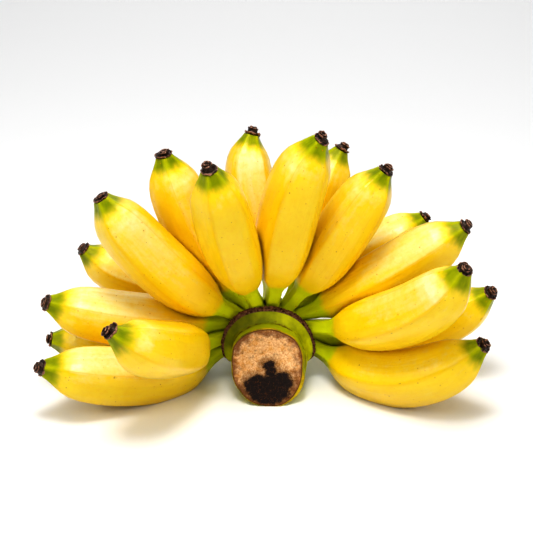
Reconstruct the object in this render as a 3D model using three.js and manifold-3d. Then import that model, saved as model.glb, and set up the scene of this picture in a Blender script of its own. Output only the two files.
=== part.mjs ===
// A hand of apple bananas: two staggered rows of short, fat fingers that grow from one crown on a piece
// of fruit stalk. The stalk lies on the table with its slanted cut end to the front, the lowest fingers
// lie beside it, and the others stand up around it like a fan.
//
// Frame: millimetres, +X right, -Y front (the side of the slanted cut), +Z up.
// The stalk's axis runs along Y.
// Places on the hand are given around that axis: fan is the angle up from the right-hand side, in degrees,
// reach is the distance from the axis, and forward is the distance in front of the bract scar.
import * as THREE from 'three';
import { mergeVertices } from 'three/addons/utils/BufferGeometryUtils.js';
import Module from 'manifold-3d';

const wasm = await Module();
wasm.setup();

// Driving dimensions.
const AXIS_HEIGHT = 22.2; // the stalk's axis above the table
const STALK_RADIUS = 22.6;
const CROWN_RADIUS = 27.5; // where the fingers grow, behind the bract scar
const STALK_REAR = 37; // rear cut, behind the bract scar
const CUT_FORWARD = 24.5; // centre of the slanted front cut
const STALK_VEER = 0.08; // sideways drift to the left per millimetre of the front end
const CUT_SLANT = 28; // degrees the front cut leans back
const CROWN_ARC = { right: -6, left: 184, fade: 20 }; // fan angles between which the crown stands full
const SCAR_ARC = { right: 8, left: 164, fade: 26 }; // and the same for the rim of the bract scar
const JOIN_GAP = 0.35; // between a finger and what it grows from or carries
const PRESS_GAP = 0.3; // from a pressed finger to the plane between it and its neighbour
const RIDGE_DEPTH = 0.055; // how far a finger's faces fall below its five ridges, as a share of the radius
const FINGER_SIDES = 20;
const STALK_SIDES = 48;
const REMNANT_SIDES = 12;

// The fingers, clockwise from the lower left: name, root [fan, forward], neck, body and tip [fan, reach,
// forward], girth, roll. A centreline starts on the crown at root, bends over the handles neck and body,
// and ends at tip. girth is the largest diameter; roll turns the ridges.
const FINGERS = [
  ['low_left', [180, -9], [200, 66, 6], [178, 105, 46], [173.5, 143, 53], 40, 20],
  ['low_left_back', [172, -21], [187, 66, -22], [184, 111, -21], [180.5, 147.5, -18], 36, 0],
  ['mid_left', [150, -14], [165, 66, -4], [167.5, 109, 5], [163.5, 149, 14], 38, 30],
  ['near_left', [167, -10], [178, 55, 6], [150, 80, 86], [148, 110, 85], 39, 48],
  ['mid_left_back', [138, -23], [147, 66, -38], [163, 101, -40], [155, 137, -35], 35, 10],
  ['high_left', [133, -12], [142, 66, 7], [136, 120, 11], [132.5, 155, 12], 40, 36],
  ['upper_left', [119, -15], [126, 66, -24], [121.5, 108, -21], [117, 148, -18], 39, 20],
  ['near_top', [103, -9], [108, 66, 12], [104, 116, 36], [103.5, 151, 48], 38, 0],
  ['top_back', [88, -23], [87, 66, -34], [101.5, 102, -32], [94.5, 138, -42], 34, 0],
  ['top', [86, -11], [84, 66, 10], [84, 127, 12], [78.5, 159, 20], 40, 10],
  ['upper_right_back', [61, -23], [60, 66, -38], [74, 96, -37], [69.5, 136, -41], 35, 0],
  ['upper_right', [65, -13], [58, 66, -6], [61, 113, -2], [60, 147, -1], 38, 15],
  ['high_right_back', [46, -21], [43, 66, -36], [36, 92, -41], [36.5, 130, -44], 34, 0],
  ['high_right', [43, -13], [33, 66, -8], [34, 115, -7], [35.5, 154, 0], 38, 25],
  ['near_right', [28, -9], [19, 66, 13], [28, 114, 57], [38, 148, 68], 40, -25],
  ['mid_right', [11, -13], [355, 66, -13], [5, 119, -11], [16.5, 151, 1], 37, 0],
  ['low_right', [-1, -10], [348, 66, 12], [-5, 95, 46], [13, 137, 51], 40, 30],
].map(([name, root, neck, body, tip, girth, roll]) => ({ name, root, neck, body, tip, girth, roll }));

// Extra neck length where a finger's body starts further out.
const LONG_NECKS = {
  near_left: 9.5, near_top: 8, top: 5.5, upper_right: 5, high_left: 2.5, near_right: 6,
};

// A finger's outline: share of its length from the crown, and radius as a share of its largest.
const FINGER_OUTLINE = [
  [0, 0.27], [0.05, 0.26], [0.1, 0.29], [0.15, 0.43], [0.2, 0.63], [0.27, 0.82], [0.36, 0.94],
  [0.48, 1], [0.6, 1], [0.71, 0.99], [0.8, 0.94], [0.87, 0.835], [0.92, 0.66], [0.96, 0.44], [1, 0.29],
];

// The dried flower end: [radius, height] from the finger's tip outwards.
const REMNANT_OUTLINE = [
  [0, 0], [4.6, 0], [5.4, 0.9], [4.2, 1.6], [3.4, 2.3], [3.2, 4.4], [2.4, 5.3], [0, 5.1],
];

// The crown with the stalk through it: [radius, forward] from the front to the rear.
const CROWN_OUTLINE = [
  [23.2, 14], [25, 8], [28.6, 2.4], [30.9, 1.2], [31.2, -0.6], [30.2, -2], [CROWN_RADIUS, -3.4],
  [CROWN_RADIUS, -27], [STALK_RADIUS, -31],
];

const radians = THREE.MathUtils.degToRad;

function outwards(fan) {
  return new THREE.Vector3(Math.cos(radians(fan)), 0, Math.sin(radians(fan)));
}

function place([fan, reach, forward]) {
  return outwards(fan).multiplyScalar(reach).add(new THREE.Vector3(0, -forward, AXIS_HEIGHT));
}

function centreline({ root, neck, body, tip }) {
  const start = place([root[0], CROWN_RADIUS + JOIN_GAP, root[1]]);
  return new THREE.CubicBezierCurve3(start, place(neck), place(body), place(tip));
}

// Point and cross directions at shares of a centreline, carried along it without twist. The first
// direction points to the rear, so a finger's roll is counted from its rear side.
function stations(curve, shares) {
  let side = new THREE.Vector3(0, 1, 0);
  return shares.map((share) => {
    const along = curve.getTangentAt(share);
    side = side.clone().addScaledVector(along, -side.dot(along)).normalize();
    return { point: curve.getPointAt(share), along, side, across: side.clone().cross(along) };
  });
}

// A finger's stations: the outline's shares, moved outwards along a long neck and back again at mid-body.
function outlineShares({ name, curve }) {
  const extra = (LONG_NECKS[name] ?? 0) / curve.getLength();
  return FINGER_OUTLINE.map(([share]) => {
    const rise = THREE.MathUtils.clamp((share - 0.02) / 0.08, 0, 1);
    const fall = THREE.MathUtils.clamp((0.75 - share) / 0.61, 0, 1);
    return share + extra * Math.min(rise, fall);
  });
}

// Soft five-sided section: a vertex lies on a ridge or falls below it.
function sectionShare(angle) {
  return 1 - RIDGE_DEPTH * Math.abs(Math.sin(2.5 * angle)) ** 1.3;
}

// Where two fingers press together, each is flattened to the plane midway through the overlap.
function pressPlane(a, b) {
  let deepest = { depth: 0 };
  for (const p of a.spine) {
    for (const q of b.spine) {
      const apart = q.point.distanceTo(p.point);
      const depth = p.radius + q.radius - apart;
      if (depth > deepest.depth) deepest = { depth, apart, p, q };
    }
  }
  if (!deepest.p) return null;
  const { p, q, apart, depth } = deepest;
  const normal = q.point.clone().sub(p.point).divideScalar(apart);
  return new THREE.Plane().setFromNormalAndCoplanarPoint(
    normal, p.point.clone().addScaledVector(normal, p.radius - depth / 2));
}

function pressInto(position, plane, gap) {
  const point = new THREE.Vector3();
  for (let i = 0; i < position.count; i++) {
    point.fromBufferAttribute(position, i);
    const over = plane.distanceToPoint(point) + gap;
    if (over > 0) {
      point.addScaledVector(plane.normal, -over);
      position.setXYZ(i, point.x, point.y, point.z);
    }
  }
}

// A finger's root is shaped to the crown's side.
function seatOnCrown(position) {
  const least = CROWN_RADIUS + JOIN_GAP;
  for (let i = 0; i < position.count; i++) {
    const x = position.getX(i);
    const z = position.getZ(i) - AXIS_HEIGHT;
    const stretch = Math.max(1, least / Math.hypot(x, z));
    position.setX(i, x * stretch);
    position.setZ(i, AXIS_HEIGHT + z * stretch);
  }
}

const TABLE = new THREE.Plane(new THREE.Vector3(0, 0, -1), 0);

// A straight lathe form of unit length, bent along the centreline.
function fingerGeometry(finger) {
  const shares = outlineShares(finger);
  const outline = [[0, 0], ...FINGER_OUTLINE.map(([, r], i) => [r, shares[i]]), [0, 1]];
  const geometry = new THREE.LatheGeometry(outline.map(([r, y]) => new THREE.Vector2(r, y)), FINGER_SIDES);
  const frames = new Map();
  stations(finger.curve, shares).forEach((frame, i) => frames.set(Math.fround(shares[i]), frame));
  const position = geometry.getAttribute('position');
  for (let i = 0; i < position.count; i++) {
    const angle = Math.atan2(position.getZ(i), position.getX(i));
    const radius = Math.hypot(position.getX(i), position.getZ(i)) * (finger.girth / 2) *
      sectionShare(angle - radians(finger.roll));
    const { point, side, across } = frames.get(position.getY(i));
    const v = point.clone()
      .addScaledVector(side, radius * Math.cos(angle))
      .addScaledVector(across, radius * Math.sin(angle));
    position.setXYZ(i, v.x, v.y, v.z);
  }
  finger.presses.forEach((plane) => pressInto(position, plane, PRESS_GAP));
  seatOnCrown(position);
  pressInto(position, TABLE, 0);
  return geometry;
}

function remnantGeometry(finger) {
  const outline = REMNANT_OUTLINE.map(([r, y]) => new THREE.Vector2(r, y));
  const geometry = new THREE.LatheGeometry(outline, REMNANT_SIDES);
  const [end] = stations(finger.curve, [1]);
  const basis = new THREE.Matrix4().makeBasis(end.side, end.along, end.across);
  basis.setPosition(end.point.clone().addScaledVector(end.along, JOIN_GAP));
  return geometry.applyMatrix4(basis);
}

// How much of an arc's height stands at a fan angle: all of it around the top, none under the stalk.
function arcShare({ right, left, fade }, fan) {
  const turned = THREE.MathUtils.euclideanModulo(fan + 90, 360) - 90;
  return THREE.MathUtils.smoothstep(turned, right - fade, right) *
    (1 - THREE.MathUtils.smoothstep(turned, left, left + fade));
}

// The outline's radius at a fan angle: the crown and the scar's rim on it each run out into the stalk.
function crownRadius(radius, fan) {
  const crown = THREE.MathUtils.clamp(radius - STALK_RADIUS, 0, CROWN_RADIUS - STALK_RADIUS);
  const rim = Math.max(0, radius - CROWN_RADIUS);
  return Math.min(radius, STALK_RADIUS) + crown * arcShare(CROWN_ARC, fan) + rim * arcShare(SCAR_ARC, fan);
}

function toSolid(geometry) {
  geometry.deleteAttribute('normal');
  geometry.deleteAttribute('uv');
  const merged = mergeVertices(geometry, 1e-4);
  return new wasm.Manifold(new wasm.Mesh({
    numProp: 3,
    vertProperties: merged.attributes.position.array,
    triVerts: new Uint32Array(merged.index.array),
  }));
}

function toGeometry(solid) {
  const { numProp, vertProperties, triVerts } = solid.getMesh();
  const geometry = new THREE.BufferGeometry();
  geometry.setAttribute('position', new THREE.BufferAttribute(vertProperties.slice(), numProp));
  geometry.setIndex(new THREE.BufferAttribute(triVerts, 1));
  return geometry;
}

// The stalk is turned as a full ring, its crown is then taken down along the underside, and the
// front end is sawn off at a slant.
function stalkGeometry() {
  const cutRise = STALK_RADIUS * Math.tan(radians(CUT_SLANT));
  const front = CUT_FORWARD + 2 * cutRise;
  const outline = [
    [0, front], [STALK_RADIUS, front], ...CROWN_OUTLINE, [STALK_RADIUS, -STALK_REAR], [0, -STALK_REAR],
  ].map(([r, y]) => new THREE.Vector2(r, y));
  const geometry = new THREE.LatheGeometry(outline.reverse(), STALK_SIDES);
  geometry.rotateZ(Math.PI); // the lathe's axis now runs from the rear to the front
  const position = geometry.getAttribute('position');
  for (let i = 0; i < position.count; i++) {
    const x = position.getX(i);
    const z = position.getZ(i);
    const radius = Math.hypot(x, z);
    if (radius > 0) {
      const kept = crownRadius(radius, THREE.MathUtils.radToDeg(Math.atan2(z, x)));
      position.setX(i, x * kept / radius);
      position.setZ(i, z * kept / radius);
    }
  }
  geometry.translate(0, 0, AXIS_HEIGHT);
  for (let i = 0; i < position.count; i++) {
    position.setX(i, position.getX(i) + STALK_VEER * Math.min(0, position.getY(i)));
  }
  pressInto(position, TABLE, 0);
  const saw = new THREE.BoxGeometry(200, 100, 200);
  saw.translate(0, -50, 0).rotateX(radians(-CUT_SLANT)).translate(0, -CUT_FORWARD, AXIS_HEIGHT);
  return toGeometry(toSolid(geometry).subtract(toSolid(saw)));
}

const skin = new THREE.MeshStandardMaterial({ color: '#f5c81c', roughness: 0.45, metalness: 0 });
const dried = new THREE.MeshStandardMaterial({ color: '#2a1a16', roughness: 0.85, metalness: 0 });
const greenStalk = new THREE.MeshStandardMaterial({ color: '#8c9c12', roughness: 0.5, metalness: 0 });

function addPiece(group, name, geometry, material) {
  const mesh = new THREE.Mesh(geometry, material);
  mesh.name = name;
  group.add(mesh);
}

for (const finger of FINGERS) {
  finger.curve = centreline(finger);
  finger.spine = stations(finger.curve, outlineShares(finger))
    .map(({ point }, i) => ({ point, radius: FINGER_OUTLINE[i][1] * finger.girth / 2 }));
  finger.presses = [];
}
FINGERS.forEach((finger, i) => FINGERS.slice(i + 1).forEach((neighbour) => {
  const plane = pressPlane(finger, neighbour);
  if (plane) {
    finger.presses.push(plane);
    neighbour.presses.push(plane.clone().negate());
  }
}));

const hand = new THREE.Group();
addPiece(hand, 'crown_and_stalk', stalkGeometry(), greenStalk);
for (const finger of FINGERS) {
  addPiece(hand, `banana_${finger.name}`, fingerGeometry(finger), skin);
  addPiece(hand, `flower_end_${finger.name}`, remnantGeometry(finger), dried);
}

// The frame's origin is at the middle of the footprint, on the table.
const box = new THREE.Box3().setFromObject(hand);
const middle = box.getCenter(new THREE.Vector3());
hand.children.forEach((mesh) => mesh.geometry.translate(-middle.x, -middle.y, -box.min.z));

export default hand;
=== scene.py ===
# %% [markdown]
# # A hand of apple bananas
#
# Apple bananas are short and fat, and grow in hands: two staggered rows of fingers on one green crown
# that wraps the fruit stalk. This hand lies on its cut stalk and its lowest fingers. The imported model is
# loaded first. It fixes the frame and the size, and every detailed piece below takes a plain solid's place.

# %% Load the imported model
import math

import bpy
import numpy as np
from mathutils import Matrix, Vector, noise


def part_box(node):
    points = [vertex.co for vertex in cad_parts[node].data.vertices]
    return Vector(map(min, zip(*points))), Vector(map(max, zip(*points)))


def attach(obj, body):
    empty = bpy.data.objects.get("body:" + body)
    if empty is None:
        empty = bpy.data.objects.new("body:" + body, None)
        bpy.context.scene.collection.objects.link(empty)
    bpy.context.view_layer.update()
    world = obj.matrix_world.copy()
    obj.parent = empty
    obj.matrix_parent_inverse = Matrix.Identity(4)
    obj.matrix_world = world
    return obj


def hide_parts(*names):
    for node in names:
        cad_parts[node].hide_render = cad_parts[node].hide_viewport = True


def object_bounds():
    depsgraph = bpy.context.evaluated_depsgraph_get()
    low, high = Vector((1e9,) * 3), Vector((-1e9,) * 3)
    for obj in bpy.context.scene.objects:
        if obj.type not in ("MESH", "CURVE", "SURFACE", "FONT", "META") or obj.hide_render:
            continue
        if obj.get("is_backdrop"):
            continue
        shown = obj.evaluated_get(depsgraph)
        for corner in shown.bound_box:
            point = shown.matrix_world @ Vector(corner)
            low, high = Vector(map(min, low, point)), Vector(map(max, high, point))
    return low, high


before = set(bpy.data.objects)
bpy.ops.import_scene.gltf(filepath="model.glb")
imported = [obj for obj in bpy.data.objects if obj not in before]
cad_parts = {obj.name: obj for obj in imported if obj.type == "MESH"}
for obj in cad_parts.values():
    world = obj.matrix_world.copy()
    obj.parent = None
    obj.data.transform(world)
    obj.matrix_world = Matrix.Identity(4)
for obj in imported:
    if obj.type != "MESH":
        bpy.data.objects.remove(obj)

MM = 0.001
cad_low, cad_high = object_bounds()
print("CAD box, mm:", [round((high - low) / MM, 1) for low, high in zip(cad_low, cad_high)])

# %% [markdown]
# ## Places on the hand
#
# Everything grows from the stalk, whose axis runs from front to rear. So a place on the hand is easiest
# to give around that axis: the fan angle up from the right-hand side, the reach out from the axis, and
# the distance forward of the bract scar, the brown rim round the crown. The stalk's rear end is 37 mm
# behind the scar and the rim reaches 32 mm to the right of the axis, which tells where both are in the
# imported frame.

# %% Turn fan, reach and forward into a point
AXIS_HEIGHT = 22.2  # the stalk's axis above the table
STALK_REAR = 37.0
STALK_RIGHT = 31.93
stalk_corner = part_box("crown_and_stalk")[1]
SCAR_X = stalk_corner[0] - STALK_RIGHT * MM
SCAR_Y = stalk_corner[1] - STALK_REAR * MM


def place(fan, reach, forward):
    """A point in the row frame, in metres, from degrees and millimetres."""
    angle = math.radians(fan)
    return Vector((
        SCAR_X + reach * math.cos(angle) * MM,
        SCAR_Y - forward * MM,
        (AXIS_HEIGHT + reach * math.sin(angle)) * MM,
    ))


print("scar ring centre, mm:", [round(v / MM, 1) for v in place(0, 0, 0)])

# %% [markdown]
# ## The camera
#
# The hand is seen from the front and a little above, from just under a metre away. It is set early, before
# any piece is built.

# %% Set up the camera
LOOK_AT = Vector((SCAR_X - 1.4 * MM, SCAR_Y, 84 * MM))
CAMERA_ELEVATION = math.radians(25)
CAMERA_DISTANCE = 0.9
LENS = 93.5
SENSOR_WIDTH = 36
towards_camera = Vector((0, -math.cos(CAMERA_ELEVATION), math.sin(CAMERA_ELEVATION)))
bpy.ops.object.camera_add(
    location=LOOK_AT + CAMERA_DISTANCE * towards_camera,
    rotation=(math.pi / 2 - CAMERA_ELEVATION, 0, 0),
)
camera = bpy.context.object
camera.data.lens = LENS
camera.data.sensor_width = SENSOR_WIDTH
bpy.context.scene.camera = camera
print("camera at, mm:", [round(v / MM) for v in camera.location])

# %% [markdown]
# ## Modelling helpers
#
# Round, grown forms are drawn here as a maker would turn them: one filled circle, extruded ring by ring
# along an outline and resized at each step. Operators act on whatever is selected, so everything is
# deselected before a new piece starts.

# %% Draw a form ring by ring
def select_only(obj):
    bpy.ops.object.select_all(action="DESELECT")
    obj.select_set(True)
    bpy.context.view_layer.objects.active = obj


def ring_form(name, outline, sides):
    """A closed form along +X. outline holds [x, radius] in millimetres from one end to the other."""
    bpy.ops.object.select_all(action="DESELECT")
    x, radius = outline[0]
    bpy.ops.mesh.primitive_circle_add(
        vertices=sides, radius=radius * MM, fill_type="NGON",
        location=(x * MM, 0, 0), rotation=(0, math.pi / 2, 0),
    )
    obj = bpy.context.object
    obj.name = obj.data.name = name
    bpy.ops.object.transform_apply(location=True, rotation=True, scale=True)
    bpy.ops.object.mode_set(mode="EDIT")
    bpy.ops.mesh.select_all(action="SELECT")
    for next_x, next_radius in outline[1:]:
        bpy.ops.mesh.extrude_region_move(
            TRANSFORM_OT_translate={"value": ((next_x - x) * MM, 0, 0)})
        scale = next_radius / radius
        bpy.ops.transform.resize(value=(1, scale, scale), center_override=(next_x * MM, 0, 0))
        x, radius = next_x, next_radius
    bpy.ops.mesh.select_all(action="SELECT")
    bpy.ops.mesh.normals_make_consistent(inside=False)
    bpy.ops.object.mode_set(mode="OBJECT")
    return obj


def copy_of(obj, name):
    """A copy with a mesh of its own."""
    made = obj.copy()
    made.data = obj.data.copy()
    made.name = made.data.name = name
    bpy.context.collection.objects.link(made)
    return made


def apply_modifier(obj, kind, **settings):
    """Adds a modifier with its settings and applies it at once."""
    select_only(obj)
    made = obj.modifiers.new(kind.title(), kind)
    for setting, value in settings.items():
        setattr(made, setting, value)
    bpy.ops.object.modifier_apply(modifier=made.name)


def per_point(obj, field):
    values = np.empty(len(obj.data.vertices) * 3)
    obj.data.vertices.foreach_get(field, values)
    return values.reshape(-1, 3)


def get_points(obj):
    return per_point(obj, "co")


def get_normals(obj):
    return per_point(obj, "normal")


def set_points(obj, points):
    obj.data.vertices.foreach_set("co", np.ascontiguousarray(points).ravel())
    obj.data.update()


def set_attribute(obj, name, values):
    """Stores one number or one vector per point, for the materials to read."""
    values = np.asarray(values, dtype=float)
    kind, field = ("FLOAT", "value") if values.ndim == 1 else ("FLOAT_VECTOR", "vector")
    made = obj.data.attributes.new(name, kind, "POINT")
    made.data.foreach_set(field, values.ravel())


def smooth_step(values, low, high):
    """0 at low and 1 at high, with a soft start and end."""
    share = np.clip((values - low) / (high - low), 0, 1)
    return share * share * (3 - 2 * share)


print("half way up a soft step:", smooth_step(0.5, 0, 1))

# %% [markdown]
# ## One straight banana
#
# All fingers of a hand share one shape: a thin neck, a quick shoulder, a fat body with five soft ridges,
# and a blunt green tip. So one straight banana is modelled once, and copies of it are bent. The ridges
# are drawn into the ring form by pulling in the points between them, and a slight crease keeps them
# readable when the surface is subdivided.

# %% Model the straight banana
BANANA_LENGTH = 120.0
BANANA_RADIUS = 19.0
ROOT_SINK = 0.03  # how far the neck reaches into the crown, as a share of the length
RIDGES = 5
RIDGE_DEPTH = 0.095  # how far the faces fall below the ridges, as a share of the radius
END_RIDGE_DEPTH = 0.15  # the neck and the tip are more angular
RIDGE_WIDTH = 1.3  # 1 gives sharp ridges, more gives rounder ones
BANANA_SIDES = 20
SUBDIVISION_SHRINK = 0.984  # subdividing makes the form this much thinner
BANANA_OUTLINE = [  # [share of the length, share of the largest radius]
    [-ROOT_SINK, 0.33], [0, 0.3], [0.03, 0.285], [0.07, 0.29], [0.105, 0.325], [0.135, 0.405],
    [0.165, 0.51], [0.2, 0.64], [0.24, 0.755], [0.29, 0.855], [0.36, 0.94], [0.44, 0.985], [0.52, 1.0],
    [0.6, 1.0], [0.68, 0.99], [0.75, 0.965], [0.81, 0.92], [0.86, 0.845], [0.9, 0.735], [0.93, 0.6],
    [0.955, 0.475], [0.975, 0.385], [0.99, 0.33], [1.0, 0.29],
]

straight = ring_form(
    "straight_banana",
    [[share * BANANA_LENGTH, r * BANANA_RADIUS / SUBDIVISION_SHRINK] for share, r in BANANA_OUTLINE],
    BANANA_SIDES,
)
points = get_points(straight)
angles = np.arctan2(points[:, 2], points[:, 1])
share = points[:, 0] / MM / BANANA_LENGTH
at_end = np.interp(share, [0.1, 0.18, 0.86, 0.94], [1, 0, 0, 1])
depth = RIDGE_DEPTH + (END_RIDGE_DEPTH - RIDGE_DEPTH) * at_end
dip = 1 - depth * np.abs(np.sin(RIDGES / 2 * angles)) ** RIDGE_WIDTH
points[:, 1:] *= dip[:, None]
set_points(straight, points)

# %% Crease the ridges and subdivide
RIDGE_CREASE = 0.6
select_only(straight)
for edge in straight.data.edges:
    ends = [straight.data.vertices[i].co for i in edge.vertices]
    along = abs(ends[0].x - ends[1].x) > 0.1 * MM
    turn = math.atan2(ends[0].z, ends[0].y) * RIDGES / math.tau
    edge.select = along and abs(turn - round(turn)) < 0.01
for polygon in straight.data.polygons:
    polygon.select = False
bpy.ops.object.mode_set(mode="EDIT")
bpy.ops.mesh.select_mode(type="EDGE")
bpy.ops.object.mode_set(mode="OBJECT")
ridge_edges = [edge.index for edge in straight.data.edges if edge.select]
bpy.ops.object.mode_set(mode="EDIT")
bpy.ops.transform.edge_crease(value=RIDGE_CREASE)
bpy.ops.object.mode_set(mode="OBJECT")
apply_modifier(straight, "SUBSURF", levels=2, render_levels=2)
points = get_points(straight)
grown = points / MM / np.array([BANANA_LENGTH, BANANA_RADIUS, BANANA_RADIUS])
ridge_turn = np.arctan2(points[:, 2], points[:, 1]) * RIDGES / math.tau
off_ridge = np.abs(ridge_turn - np.round(ridge_turn))
widest = 2 * np.hypot(points[:, 1], points[:, 2]).max() / MM
print(len(ridge_edges), "ridge edges,", len(straight.data.polygons), "faces, widest, mm:", round(widest, 1))

# %% [markdown]
# ## Where each finger goes
#
# A finger's centreline is one Bezier segment: it starts at the crown, is steered by two handles, and ends
# at the tip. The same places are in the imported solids, so the bent copies fill them. The fingers of the
# front row stand forward and the back row shows between them.

# %% List the fingers
CROWN_RADIUS = 27.5
JOIN_GAP = 0.35  # between the crown and a finger
LINE_POINTS = 161  # points that a centreline is measured at
# name: root [fan, forward], neck handle, body handle and tip [fan, reach, forward], girth, roll
FINGERS = {
    "low_left": ([180, -9], [200, 66, 6], [178, 105, 46], [173.5, 143, 53], 40, 20),
    "low_left_back": ([172, -21], [187, 66, -22], [184, 111, -21], [180.5, 147.5, -18], 36, 0),
    "mid_left": ([150, -14], [165, 66, -4], [167.5, 109, 5], [163.5, 149, 14], 38, 30),
    "near_left": ([167, -10], [178, 55, 6], [150, 80, 86], [148, 110, 85], 38, 48),
    "mid_left_back": ([138, -23], [147, 66, -38], [163, 101, -40], [155, 137, -35], 35, 10),
    "high_left": ([133, -12], [142, 66, 7], [136, 120, 11], [132.5, 155, 12], 40, 36),
    "upper_left": ([119, -15], [126, 66, -24], [121.5, 108, -21], [117, 148, -18], 39, 20),
    "near_top": ([103, -9], [108, 66, 12], [104, 116, 36], [103.5, 151, 48], 38, 0),
    "top_back": ([88, -23], [87, 66, -34], [101.5, 102, -32], [94.5, 138, -42], 34, 0),
    "top": ([86, -11], [84, 66, 10], [84, 127, 12], [78.5, 159, 20], 40, 10),
    "upper_right_back": ([61, -23], [60, 66, -38], [74, 96, -37], [69.5, 136, -41], 35, 0),
    "upper_right": ([65, -13], [58, 66, -6], [61, 113, -2], [60, 147, -1], 38, 15),
    "high_right_back": ([46, -21], [43, 66, -36], [36, 92, -41], [36.5, 130, -44], 34, 0),
    "high_right": ([43, -13], [33, 66, -8], [34, 115, -7], [35.5, 154, 0], 38, 25),
    "near_right": ([28, -9], [19, 66, 13], [28, 114, 57], [38, 148, 68], 40, -25),
    "mid_right": ([11, -13], [355, 66, -13], [5, 119, -11], [16.5, 151, 1], 37, 0),
    "low_right": ([-1, -10], [348, 66, 12], [-5, 95, 46], [13, 137, 51], 40, 30),
}
LONG_NECKS = {  # extra neck length in millimetres, where a body starts further out
    "near_left": 9.5, "near_top": 8, "top": 5.5, "upper_right": 5, "high_left": 2.5, "near_right": 6,
}


def stretched(name, share, length):
    """Shares of a finger's length once its neck is longer and its body gives way."""
    extra = LONG_NECKS.get(name, 0) * MM / length
    return share + extra * np.interp(share, [0.02, 0.1, 0.14, 0.75], [0, 1, 1, 0])


def bezier(ends, share):
    """Points on the centreline at parameters share, one row each."""
    t = np.asarray(share)[:, None]
    a, b, c, d = (np.array(end) for end in ends)
    return (1 - t) ** 3 * a + 3 * (1 - t) ** 2 * t * b + 3 * (1 - t) * t ** 2 * c + t ** 3 * d


centrelines = {}
for name, (root, neck, body, tip, girth, _) in FINGERS.items():
    ends = [place(root[0], CROWN_RADIUS + JOIN_GAP, root[1]), place(*neck), place(*body), place(*tip)]
    line = bezier(ends, np.linspace(0, 1, LINE_POINTS))
    steps = np.linalg.norm(np.diff(line, axis=0), axis=1)
    shares = np.concatenate([[0], np.cumsum(steps)]) / steps.sum()
    outline_shares, outline_radii = np.array(BANANA_OUTLINE).T
    radii = np.interp(shares, stretched(name, outline_shares, steps.sum()), outline_radii) * girth / 2 * MM
    centrelines[name] = {"ends": ends, "line": line, "radii": radii, "length": steps.sum()}
print("finger lengths, mm:", [round(c["length"] / MM) for c in centrelines.values()])

# %% [markdown]
# ## Bending the fingers
#
# A Curve modifier bends each copy: the mesh lies along X and follows a Bezier curve of the same length.
# Where two fingers press together in the hand, both give way by half, along the direction away from the
# neighbour's core. That makes the hollows that ripe bananas keep when they are picked apart.

# %% Bend one copy
SHOULDER_AT = 0.25  # where a finger widens from its neck, as a share of its length
SHOULDER_SPREAD = 0.12
FULL_SHOULDER = {"near_left": 0.07, "low_left": 0.03, "low_right": 0.04}  # extra girth there, as a share


def bend(name):
    """A copy of the straight banana along the finger's centreline, before any pressing."""
    *_, girth, roll = FINGERS[name]
    path = centrelines[name]
    finger = copy_of(straight, f"finger_{name}")
    shoulder = np.exp(-((grown[:, 0] - SHOULDER_AT) / SHOULDER_SPREAD) ** 2) * FULL_SHOULDER.get(name, 0)
    shaped = get_points(finger)
    shaped[:, 1:] *= girth / 2 / BANANA_RADIUS * (1 + shoulder[:, None])
    shaped[:, 0] = stretched(name, grown[:, 0], path["length"]) * path["length"]
    set_points(finger, shaped)
    data = bpy.data.curves.new("centreline", "CURVE")
    data.dimensions = "3D"
    data.twist_mode = "MINIMUM"
    spline = data.splines.new("BEZIER")
    spline.bezier_points.add(1)
    spline.resolution_u = 100
    a, b, c, d = path["ends"]
    for point, left, middle, right in zip(spline.bezier_points, (2 * a - b, c), (a, d), (b, 2 * d - c)):
        point.handle_left_type = point.handle_right_type = "FREE"
        point.handle_left, point.co, point.handle_right = left, middle, right
        point.tilt = math.radians(roll)
    curve = bpy.data.objects.new("centreline", data)
    bpy.context.collection.objects.link(curve)
    apply_modifier(finger, "CURVE", object=curve, deform_axis="POS_X")
    bpy.data.objects.remove(curve)
    return finger


fingers = {name: bend(name) for name in FINGERS}
print("bent", len(fingers), "fingers")

# %% Press neighbours together and rest them on the table
PRESS_GAP = 0.1 * MM
TABLE_SOFTNESS = 1.2 * MM
CHUNK = 2000  # points compared at once, which bounds the memory
CREASE_SHADE_DEPTH = (-2.2, 0.4)  # mm inside a neighbour where painted shade makes the peel a deeper gold
NEIGHBOUR_SHADE_DEPTH = (-8, -0.5)  # and the painted highlight fades in its shade
UNDERSIDE_SHADE_HEIGHTS = (45, 12)  # heights in millimetres between which undersides get painted shade too
HIGHLIGHT_SIDE = np.array([0, -0.55, 0.835])  # the painted highlight is strongest on the upper front, which faces the lights
HIGHLIGHT_FACING = (0.38, 1.0)
HIGHLIGHT_ALONG = ([0.2, 0.35, 0.6, 0.86, 0.95], [0.1, 0.5, 1, 1, 0])  # its strength from neck to tip
COMMON_HIGHLIGHT = 0.9
HIGHLIGHT_STRENGTH = {  # strength of the painted highlight on fingers that are lit more or less
    "near_right": 1.8, "top_back": 1.2, "mid_left": 0.8, "high_right": 0.7, "high_right_back": 0.7,
    "upper_right": 0.6, "mid_left_back": 0.6, "low_left_back": 0.3, "mid_right": 0.3, "low_right": 0.25,
}
SEED_STEP = 1.7  # from one finger's pattern to the next


def depth_inside(points, path):
    """How deep points lie inside a finger, and the direction away from its core."""
    nearest = np.empty(len(points), dtype=int)
    for start in range(0, len(points), CHUNK):
        chunk = points[start:start + CHUNK]
        apart = np.linalg.norm(chunk[:, None] - path["line"][None], axis=2) - path["radii"]
        nearest[start:start + CHUNK] = apart.argmin(axis=1)
    away = points - path["line"][nearest]
    distance = np.linalg.norm(away, axis=1)
    return path["radii"][nearest] - distance, away / distance[:, None]


def rise_off_table(heights):
    """Heights above the table, rounded off where a finger rests on it."""
    close = np.clip(TABLE_SOFTNESS - np.abs(heights), 0, None)
    return np.maximum(heights, 0) + close ** 2 / (4 * TABLE_SOFTNESS)


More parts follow.
